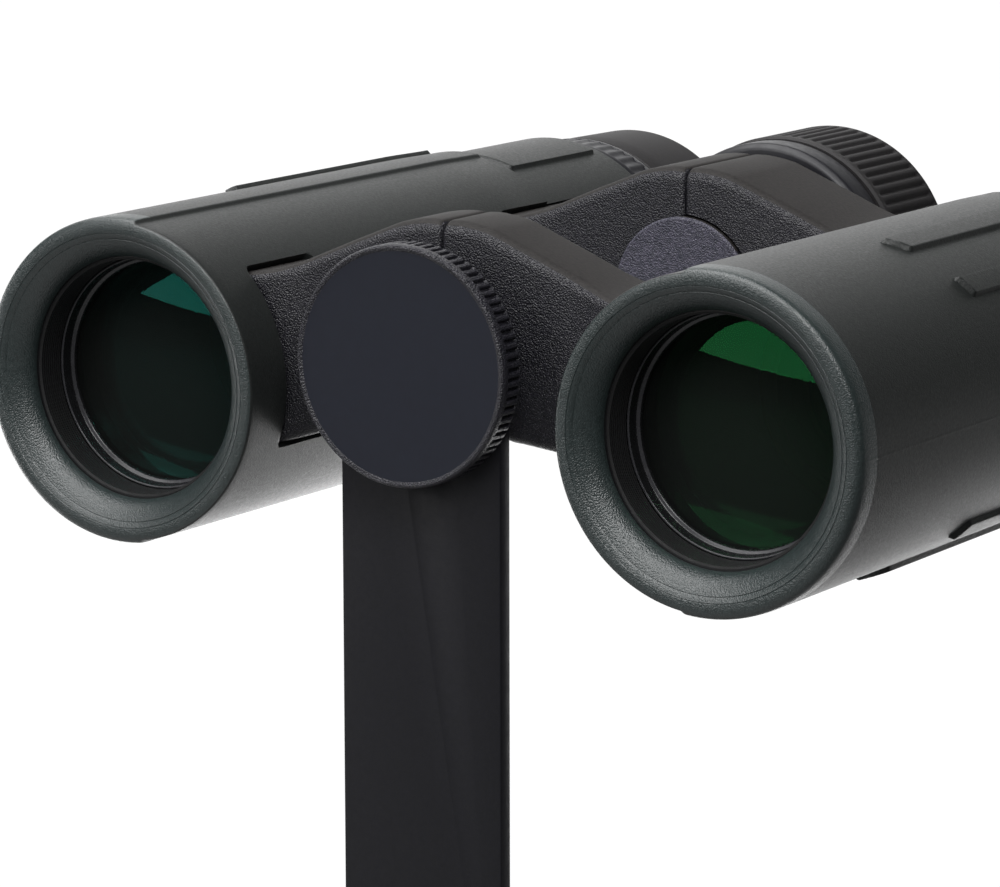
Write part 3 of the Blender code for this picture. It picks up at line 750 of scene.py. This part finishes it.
def focus_wheel():
    def rib_wave(radius, station, angle):
        if radius < 15.9 or not 85.0 < station < 97.9:
            return 0.0
        ease = smoothstep(85.5, 1.0, station) * (1 - smoothstep(97.4, 0.8, station))
        return -0.34 * ease * sin(WHEEL_RIBS * angle / 2) ** 4

    stations = [84.2 + 0.35 * i for i in range(40)]
    outer = [(16.3, station) for station in stations if station < 97.9]
    profile = [(15.1, 84.2), (16.0, 84.2)] + outer[1:] + [(16.15, 98.1), (15.8, 98.3), (15.1, 98.3)]
    item = lathe("wheel_grip_rubber", profile, HINGE, GRIP, WHEEL_RIBS * 10, rib_wave)
    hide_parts("focus_wheel_grip")
    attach(item, "focus_wheel")
    hub = rounded([(15.3, 79.5), (15.95, 80.2), (15.95, 83.6), (14.8, 84.0), (14.8, 97.6), (13.2, 97.6),
                   (13.2, 82.2), (5.2, 82.2), (5.2, 95.6), (2.3, 95.6), (2.3, 79.5)], 0.3, 4)
    item = lathe("wheel_hub", hub, HINGE, RING, 160)
    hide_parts("focus_wheel_hub")
    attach(item, "focus_wheel")
    cap = [(0, 96.2), (12.9, 96.2), (12.9, 97.7), (12.6, 98.1), (11.9, 98.4), (11.2, 98.4), (10.9, 98.15),
           (10.6, 98.15), (10.2, 98.45), (6.0, 98.72), (0, 98.8)]
    item = lathe("wheel_cap", cap, HINGE, RING, 144)
    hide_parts("focus_wheel_cap")
    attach(item, "focus_wheel")


# ---- adapter ----

KNURLS = 80
KNURL_DEPTH = 0.42
KNOB_RADIUS = 13.44


def knob():
    def knurl(radius, station, angle):
        if radius < 13.3 or not -1.8 < station < 0.75:
            return 0.0
        return -KNURL_DEPTH * smoothstep(0.78, 0.3, abs(sin(KNURLS * angle / 2)))

    stations = [-1.9 + 0.2 * i for i in range(13)]
    profile = [(0, -2.72), (6.0, -2.72), (12.0, -2.72), (12.7, -2.73), (12.92, -2.86), (13.12, -2.89),
               (13.3, -2.8), (13.42, -2.55), (KNOB_RADIUS, -2.2)]
    profile += [(KNOB_RADIUS, station) for station in stations]
    profile += [(13.3, 0.8), (13.0, 1.0), (6.6, 1.0), (6.6, -0.1), (3.4, -0.1), (3.4, -1.5), (0, -1.5)]
    item = lathe("knob_head", profile, HINGE, KNOB, KNURLS * 8, knurl, 24)
    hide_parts("clamp_knob")
    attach(item, "clamp_knob")
    paint_rim(item)


def paint_rim(item):
    """The knob's rim is cast rough, and its face is smooth."""
    item.data.materials.append(RIM)
    for face in item.data.polygons:
        away = hypot(face.center.x - HINGE.x, face.center.z - HINGE.z) / MM
        face.material_index = 1 if away > 12.8 else 0


def adapter():
    """The bent plate with softened edges, in powder coat, and its threaded bush."""
    plate = softened("adapter_painted", nodes["adapter_plate"], PLATE, 0.3)
    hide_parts("adapter_plate")
    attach(plate, "adapter")
    low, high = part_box("tripod_bush")
    axis = Vector(((low[0] + high[0]) / 2, (low[1] + high[1]) / 2, 0.0))
    bore = threads(0.4, 6.3, 6, 3.2, 3.5)
    profile = [(6.5, 2.4), (4.3, 2.4), (4.3, 0.0), (3.5, 0.0)] + bore + [(3.5, 6.6), (6.3, 6.6), (6.5, 6.3)]
    points = []
    steps = 72
    for radius, height in profile:
        for j in range(steps):
            a = 2 * pi * j / steps
            points.append((axis.x + radius * MM * cos(a), axis.y + radius * MM * sin(a), height * MM))
    item = to_object("bush_threaded", points, ring_faces(len(profile), steps, True), [BRASS])
    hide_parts("tripod_bush")
    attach(item, "adapter")


def screw_parts():
    stud = [(0, -1.2), (2.9, -1.2), (3.1, -0.9), (3.1, 1.2), *threads(1.3, 12.0, 10, 3.12, 2.8),
            (2.5, 12.5), (0, 12.5)]
    item = lathe("stud_threaded", stud, HINGE, STEEL, 64)
    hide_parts("clamp_stud")
    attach(item, "clamp_knob")
    socket = [(8.7, 3.7), (9.0, 4.0), (9.0, 5.5), (4.6, 5.5), (4.6, 15.6), (3.4, 15.6), (3.4, 3.7)]
    item = lathe("socket_flange", rounded(socket, 0.2, 3), HINGE, RING, 128)
    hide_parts("tripod_socket")
    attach(item, "hinge_core")


def remaining_cad():
    give(NYLON, "knob_washer")
    give(STEEL, "rear_hinge_pin")
    give(BRASS, "focus_spindle", "focus_nut")
    for side, _ in SIDES:
        give(BRASS, side + "_focus_carrier")
        give(STEEL, side + "_focus_link")
        give(GRIP, side + "_objective_seal")
        give(INNER, side + "_prism_cage")
        give(PRISM_GLASS, side + "_entrance_prism", side + "_roof_prism")
        give(RING, side + "_eyecup_drive_ring", side + "_link_cover", side + "_strap_lug")


# ---- stage, lights, camera ----

BEHIND = (-0.53, 0.85, 0.0)   # from the camera, past the object, to the lit backdrop


def seen_directly(tree, for_camera, otherwise):
    """A strength that is one value to the camera and another as a light on the object."""
    path = tree.nodes.new("ShaderNodeLightPath")
    mix = tree.nodes.new("ShaderNodeMix")
    mix.inputs[3].default_value = for_camera
    tree.links.new(otherwise, mix.inputs[2])
    tree.links.new(path.outputs["Is Camera Ray"], mix.inputs[0])
    return mix.outputs[0]


def graded(tree, source, direction, low, high, dark, bright):
    """A strength that goes from dark to bright as a place moves along a direction."""
    along_line = tree.nodes.new("ShaderNodeVectorMath")
    along_line.operation = "DOT_PRODUCT"
    along_line.inputs[1].default_value = direction
    tree.links.new(source, along_line.inputs[0])
    ramp = tree.nodes.new("ShaderNodeMapRange")
    ramp.interpolation_type = "SMOOTHSTEP"
    for key, value in {"From Min": low, "From Max": high, "To Min": dark, "To Max": bright}.items():
        ramp.inputs[key].default_value = value
    tree.links.new(along_line.outputs["Value"], ramp.inputs["Value"])
    return ramp.outputs["Result"]


def product(tree, *factors):
    result = factors[0]
    for factor in factors[1:]:
        times = tree.nodes.new("ShaderNodeMath")
        times.operation = "MULTIPLY"
        tree.links.new(result, times.inputs[0])
        tree.links.new(factor, times.inputs[1])
        result = times.outputs[0]
    return result


def stage():
    """A plain white table top, brightest behind the object and unlit past its front and right edges."""
    bpy.ops.mesh.primitive_plane_add(size=8.0, location=(0, 0, -0.0005))
    floor = bpy.context.object
    floor.name = "floor"
    white = bpy.data.materials.new("floor_white")
    white.use_nodes = True
    tree = white.node_tree
    shader = tree.nodes["Principled BSDF"]
    shader.inputs["Base Color"].default_value = (0.05, 0.05, 0.05, 1.0)
    shader.inputs["Roughness"].default_value = 0.9
    shader.inputs["Specular IOR Level"].default_value = 0.0
    shader.inputs["Emission Color"].default_value = (1.0, 1.0, 1.0, 1.0)
    place = tree.nodes.new("ShaderNodeTexCoord").outputs["Object"]
    front = graded(tree, place, (0.0, 1.0, 0.0), -0.164, -0.156, 0.1, 1.1)
    right = graded(tree, place, (1.0, 0.0, 0.0), 0.02, 0.11, 1.0, 0.08)
    behind = graded(tree, place, BEHIND, 0.065, 0.15, 0.32, 4.0)
    shared = product(tree, front, right, behind)
    tree.links.new(seen_directly(tree, 1.0, shared), shader.inputs["Emission Strength"])
    floor.data.materials.append(white)


def softbox(name, place, aim, width, height, radiance):
    data = bpy.data.lights.new(name, "AREA")
    data.shape = "RECTANGLE"
    data.size = width
    data.size_y = height
    data.energy = radiance * pi * width * height
    lamp = bpy.data.objects.new(name, data)
    lamp.location = place
    lamp.rotation_euler = (Vector(aim) - Vector(place)).to_track_quat("-Z", "Y").to_euler()
    lamp.visible_camera = False
    bpy.context.scene.collection.objects.link(lamp)


def reflector(name, corners, distance, strength):
    """A lit card that the glass mirrors; corners are (degrees to the right of the front, degrees up)."""
    centre = Vector((0.0, BARREL["left"].y, BARREL["left"].z))
    points = []
    for azimuth, elevation in corners:
        a, e = radians(azimuth), radians(elevation)
        points.append(centre + distance * Vector((sin(a) * cos(e), -cos(a) * cos(e), sin(e))))
    mesh = bpy.data.meshes.new(name)
    mesh.from_pydata([tuple(p) for p in points], [], [tuple(range(len(points)))])
    glow = bpy.data.materials.new(name)
    glow.use_nodes = True
    shader = glow.node_tree.nodes["Principled BSDF"]
    shader.inputs["Base Color"].default_value = (0.0, 0.0, 0.0, 1.0)
    shader.inputs["Emission Color"].default_value = (1.0, 1.0, 1.0, 1.0)
    shader.inputs["Emission Strength"].default_value = strength
    mesh.materials.append(glow)
    card = bpy.data.objects.new(name, mesh)
    card.visible_camera = False
    card.visible_diffuse = False
    bpy.context.scene.collection.objects.link(card)


def lights():
    world = bpy.data.worlds.new("studio")
    world.use_nodes = True
    tree = world.node_tree
    background = tree.nodes["Background"]
    background.inputs["Color"].default_value = (1.0, 1.0, 1.0, 1.0)
    direction = tree.nodes.new("ShaderNodeTexCoord").outputs["Generated"]
    glow = graded(tree, direction, BEHIND, 0.62, 0.98, 0.03, 1.4)
    tree.links.new(seen_directly(tree, 1.0, glow), background.inputs["Strength"])
    bpy.context.scene.world = world
    aim = (0.0, 0.02, 0.085)
    softbox("overhead", (-0.28, -0.18, 0.94), aim, 1.15, 0.7, 4.0)
    softbox("key", (0.47, -0.60, 0.88), aim, 0.5, 0.5, 8.0)
    softbox("front_left", (-0.485, -0.77, 0.55), aim, 0.55, 0.5, 3.0)
    reflector("wedge_card", [(-43.0, 3.6), (-8.0, 0.2), (-8.0, 21.8)], 1.6, 2.3)


def camera():
    """The view from the objectives' side, above and to the right."""
    azimuth, elevation, roll = radians(31.974), radians(10.552), radians(-0.115)
    distance = 0.503388
    target = Vector((0.011203, BARREL["left"].y, BARREL["left"].z - 0.002793))
    back = Vector((sin(azimuth) * cos(elevation), -cos(azimuth) * cos(elevation), sin(elevation)))
    level = Vector((cos(azimuth), sin(azimuth), 0.0))
    upright = back.cross(level)
    across = level * cos(roll) + upright * sin(roll)
    up = upright * cos(roll) - level * sin(roll)
    data = bpy.data.cameras.new("camera")
    data.lens = 167.46
    data.sensor_width = 36.0
    data.clip_start = 0.01
    item = bpy.data.objects.new("camera", data)
    matrix = Matrix((across, up, back)).transposed().to_4x4()
    matrix.translation = target + back * distance
    item.matrix_world = matrix
    bpy.context.scene.collection.objects.link(item)
    bpy.context.scene.camera = item
    bpy.context.scene.view_settings.view_transform = "Standard"


stage()
lights()
camera()
for side, sign in SIDES:
    armour(side, sign)
    bridge_casting(side, sign)
    objective(side)
    eyepiece(side)
focus_wheel()
knob()
adapter()
screw_parts()
remaining_cad()
